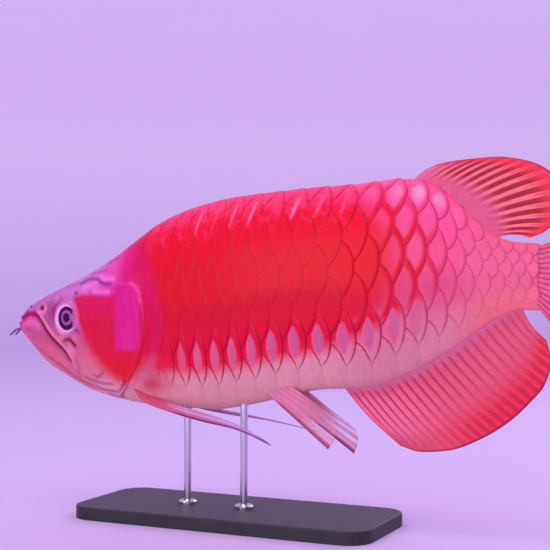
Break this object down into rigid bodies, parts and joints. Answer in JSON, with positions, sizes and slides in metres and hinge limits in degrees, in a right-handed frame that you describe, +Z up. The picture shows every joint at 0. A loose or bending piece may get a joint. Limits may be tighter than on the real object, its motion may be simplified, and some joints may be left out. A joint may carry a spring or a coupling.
{
  "type": "asian arowana display model",
  "caption": "Still, life-size Asian arowana, super red form: long deep body in large overlapping scales, upturned mouth, fan fins set far back, on a flat stand with short rods.",
  "frame": {"origin": "centre of the stand base's underside, which rests on the surface", "axes": "-X toward the snout, +X toward the tail, -Y the fish's left side, +Z up"},
  "size_m": [0.6357, 0.12, 0.3313],
  "materials": {
    "red_scales": "glossy wet-look scales, deep red",
    "pink_scales": "glossy wet-look scales, rose pink",
    "head_skin": "smooth moist skin over bone, mauve to red",
    "gill_cover": "smooth bony plate with a metallic sheen, magenta",
    "eye": "clear cornea over a dark ringed iris",
    "red_fin": "thin ribbed membrane, red toward the margin",
    "rose_fin": "thin ribbed membrane, rose",
    "stand_board": "satin black board",
    "stand_rod": "polished steel"
  },
  "bodies": {
    "root": {"head": "head_skin", "jaw_lower": "head_skin", "gill_cover_left": "gill_cover", "gill_cover_right": "gill_cover", "eye_left": "eye", "eye_right": "eye", "barbel_left": "head_skin", "barbel_right": "head_skin", "trunk": "red_scales", "tail_stem": "pink_scales", "fin_dorsal": "red_fin", "fin_anal": "red_fin", "fin_caudal": "red_fin", "fin_pectoral_left": "rose_fin", "fin_pectoral_right": "rose_fin", "fin_pelvic_left": "rose_fin", "fin_pelvic_right": "rose_fin", "stand_base": "stand_board", "stand_rod_front": "stand_rod", "stand_rod_rear": "stand_rod"}
  },
  "joints": []
}
